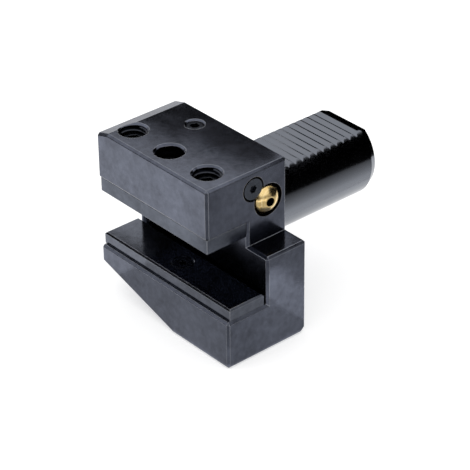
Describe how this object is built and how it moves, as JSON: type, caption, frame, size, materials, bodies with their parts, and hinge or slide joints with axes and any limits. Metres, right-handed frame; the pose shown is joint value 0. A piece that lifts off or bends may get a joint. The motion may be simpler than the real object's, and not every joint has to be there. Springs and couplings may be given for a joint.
{
  "type": "radial tool holder",
  "caption": "Radial turning tool holder with a toothed 40 mm shank, a clamped square tool slot over a support plate, and an aimable brass coolant ball.",
  "frame": {"origin": "on the shank's axis, in the plane of the flange face", "axes": "+Y along the shank away from the flange, +Z the toothed side of the shank, +X the way the coolant ball looks"},
  "size_m": [0.085, 0.107, 0.081],
  "materials": {
    "holder_steel": "black oxide over a ground surface, satin",
    "clamp_steel": "black oxide, dark satin",
    "seat_steel": "hardened, ground and black oxide",
    "screw_steel": "black oxide, slightly oily",
    "pin_steel": "ground bright",
    "spring_steel": "drawn wire",
    "ball_brass": "turned and polished",
    "seal_rubber": "matt black"
  },
  "bodies": {
    "holder": {"holder_body": "holder_steel", "shank_seal_ring": "seal_rubber", "lift_spring": "spring_steel", "support_plate": "seat_steel", "support_plate_screw": "screw_steel", "support_dowel_left": "pin_steel", "support_dowel_right": "pin_steel", "coolant_plug": "screw_steel", "inlet_plug": "screw_steel"},
    "clamp": {"clamp_plate": "clamp_steel", "guide_pin_left": "pin_steel", "guide_pin_right": "pin_steel", "lift_screw": "screw_steel", "lift_washer": "pin_steel"},
    "left_screw": {"clamp_screw_left": "screw_steel"},
    "right_screw": {"clamp_screw_right": "screw_steel"},
    "ball_seat_ring": {"nozzle_seal": "seal_rubber"},
    "ball": {"nozzle_ball": "ball_brass"},
    "lock_screw": {"nozzle_lock_screw": "screw_steel"}
  },
  "joints": [
    {"name": "clamp_slide", "type": "slide", "parent": "holder", "child": "clamp", "axis": [0, 0, -1], "range_m": [0, 0.003], "stiffness_N_per_m": 2100, "springref_m": -0.003, "deforming": ["lift_spring"]},
    {"name": "clamp_screw_left_turn", "type": "hinge", "parent": "clamp", "child": "left_screw", "pos_m": [-0.0305, -0.0332, 0.018], "axis": [0, 0, -1], "range_deg": [0, 617.14]},
    {"name": "clamp_screw_right_turn", "type": "hinge", "parent": "clamp", "child": "right_screw", "pos_m": [0.018, -0.0332, 0.018], "axis": [0, 0, -1], "range_deg": [0, 617.14]},
    {"name": "nozzle_spin", "type": "hinge", "parent": "holder", "child": "ball_seat_ring", "pos_m": [0.0251, -0.0104, 0.0159], "axis": [1, 0, 0], "continuous": true},
    {"name": "nozzle_tilt", "type": "hinge", "parent": "ball_seat_ring", "child": "ball", "pos_m": [0.0251, -0.0104, 0.0159], "axis": [0, 0, -1], "range_deg": [-17.5, 6.5]},
    {"name": "nozzle_lock_turn", "type": "hinge", "parent": "holder", "child": "lock_screw", "pos_m": [0.0298, -0.01841, 0.0239], "axis": [1, 0, 0], "range_deg": [0, 90]}
  ],
  "couplings": [
    {"joint": "clamp_screw_left_turn", "follows": "clamp_slide", "rad_per_m": 3590.4},
    {"joint": "clamp_screw_right_turn", "follows": "clamp_slide", "rad_per_m": 3590.4}
  ]
}
